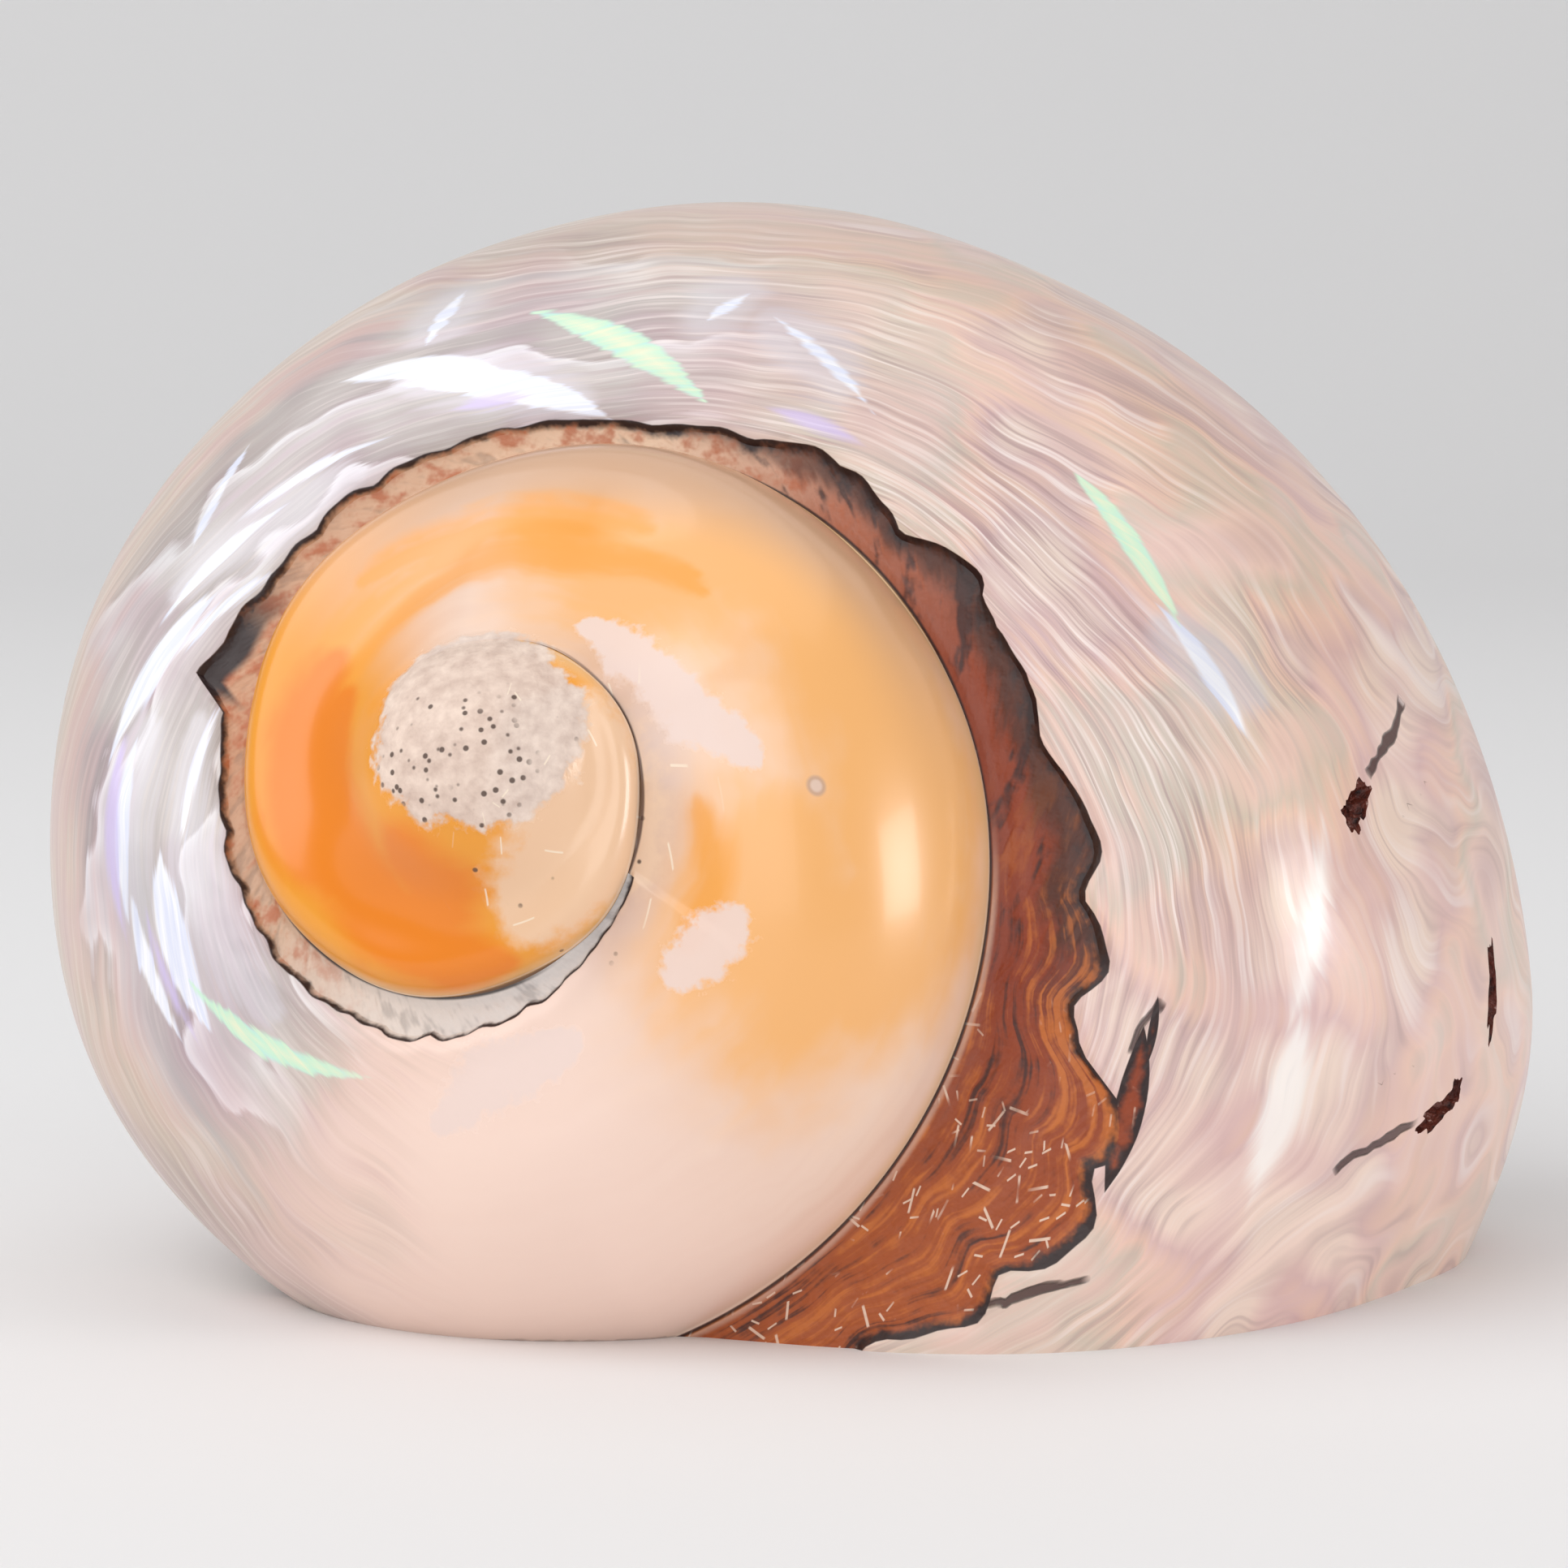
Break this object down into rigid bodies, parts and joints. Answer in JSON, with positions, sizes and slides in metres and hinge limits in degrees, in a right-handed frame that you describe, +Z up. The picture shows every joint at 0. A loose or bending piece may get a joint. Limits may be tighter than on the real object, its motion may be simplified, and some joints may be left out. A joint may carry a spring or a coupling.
{
  "type": "turban seashell",
  "caption": "Polished turban seashell lying on its mouth: pearly body whorl, orange spire whorls, rough red-brown band along the last seam, hollow throat.",
  "frame": {"origin": "middle of the shell's outer size, on the surface that it lies on", "axes": "+Z up as the shell lies on its mouth, the spire's tip towards -Y and its mouth opening down, the lip to +X"},
  "size_m": [0.0836, 0.0628, 0.0596],
  "materials": {
    "pearly_shell": "polished mother-of-pearl"
  },
  "bodies": {
    "root": {"shell": "pearly_shell"}
  },
  "joints": []
}
